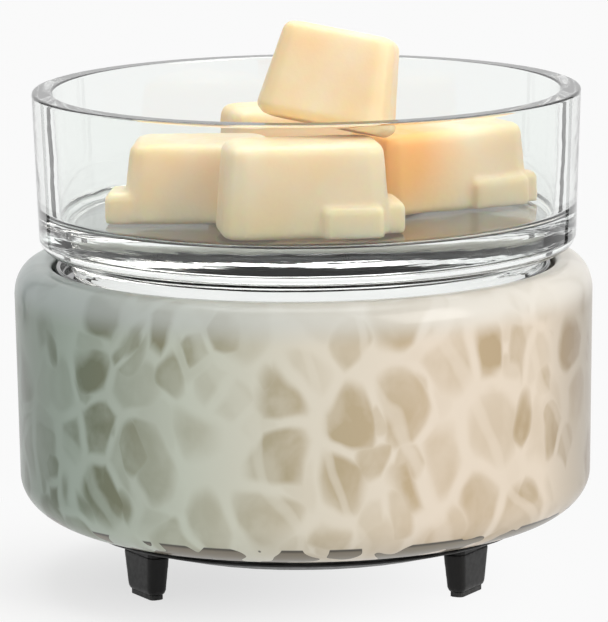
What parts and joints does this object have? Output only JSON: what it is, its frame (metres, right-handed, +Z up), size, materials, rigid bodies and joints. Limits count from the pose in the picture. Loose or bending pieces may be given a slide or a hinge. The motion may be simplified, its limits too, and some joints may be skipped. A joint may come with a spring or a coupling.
{
  "type": "candle warmer",
  "caption": "Round electric wax warmer: a blown cased-glass body on short feet, a hot plate in its open top and a lift-off clear glass dish of wax melts.",
  "frame": {"origin": "on the surface it stands on, under the middle of the round body", "axes": "+Z up, -Y towards the front between the two front feet, +X to the right"},
  "size_m": [0.122, 0.122, 0.1212],
  "materials": {
    "cased_glass": "glossy opaque cased glass with a mottled layer",
    "clear_glass": "clear, polished",
    "wax": "soft satin, slightly translucent",
    "black_enamel": "black enamel on steel",
    "black_plastic": "fine satin",
    "silicone": "matt",
    "aluminium": "rolled",
    "mica": "satin sheet",
    "heating_alloy": "oxidised",
    "steel": "zinc plated",
    "ceramic": "unglazed",
    "sleeve": "woven glass-fibre sleeve"
  },
  "bodies": {
    "warmer": {"glass_housing": "cased_glass", "base_gasket": "silicone", "plate_gasket": "silicone", "hot_plate": "black_enamel", "heat_spreader": "aluminium", "mica_upper": "mica", "heater_ribbon": "heating_alloy", "heater_card": "mica", "mica_lower": "mica", "clamp_plate": "steel", "clamp_nut_front": "steel", "clamp_nut_right": "steel", "clamp_nut_left": "steel", "shield_spacer_front": "steel", "shield_spacer_right": "steel", "shield_spacer_left": "steel", "heat_shield": "aluminium", "tie_post_front": "steel", "tie_post_right": "steel", "tie_post_left": "steel", "thermostat": "ceramic", "thermostat_bracket": "steel", "bracket_rivet_front": "steel", "bracket_rivet_back": "steel", "thermal_fuse": "ceramic", "fuse_clip": "steel", "terminal_block": "ceramic", "terminal_screw_left": "steel", "terminal_screw_right": "steel", "block_screw": "steel", "lead_live": "sleeve", "lead_link": "sleeve", "lead_heater": "sleeve", "lead_neutral": "sleeve", "base_plate": "black_plastic", "inlet_bushing": "silicone", "base_screw_front": "steel", "base_screw_right": "steel", "base_screw_left": "steel", "foot_left": "black_plastic", "foot_right": "black_plastic", "foot_rear": "black_plastic", "foot_pad_left": "silicone", "foot_pad_right": "silicone", "foot_pad_rear": "silicone", "foot_screw_left": "steel", "foot_screw_right": "steel", "foot_screw_rear": "steel"},
    "dish": {"wax_dish": "clear_glass", "wax_melt_front": "wax", "wax_melt_left": "wax", "wax_melt_right": "wax", "wax_melt_back": "wax", "wax_melt_top": "wax"}
  },
  "joints": [
    {"name": "dish_lift", "type": "slide", "parent": "warmer", "child": "dish", "axis": [0, 0, 1], "range_m": [0, 0.06]}
  ]
}
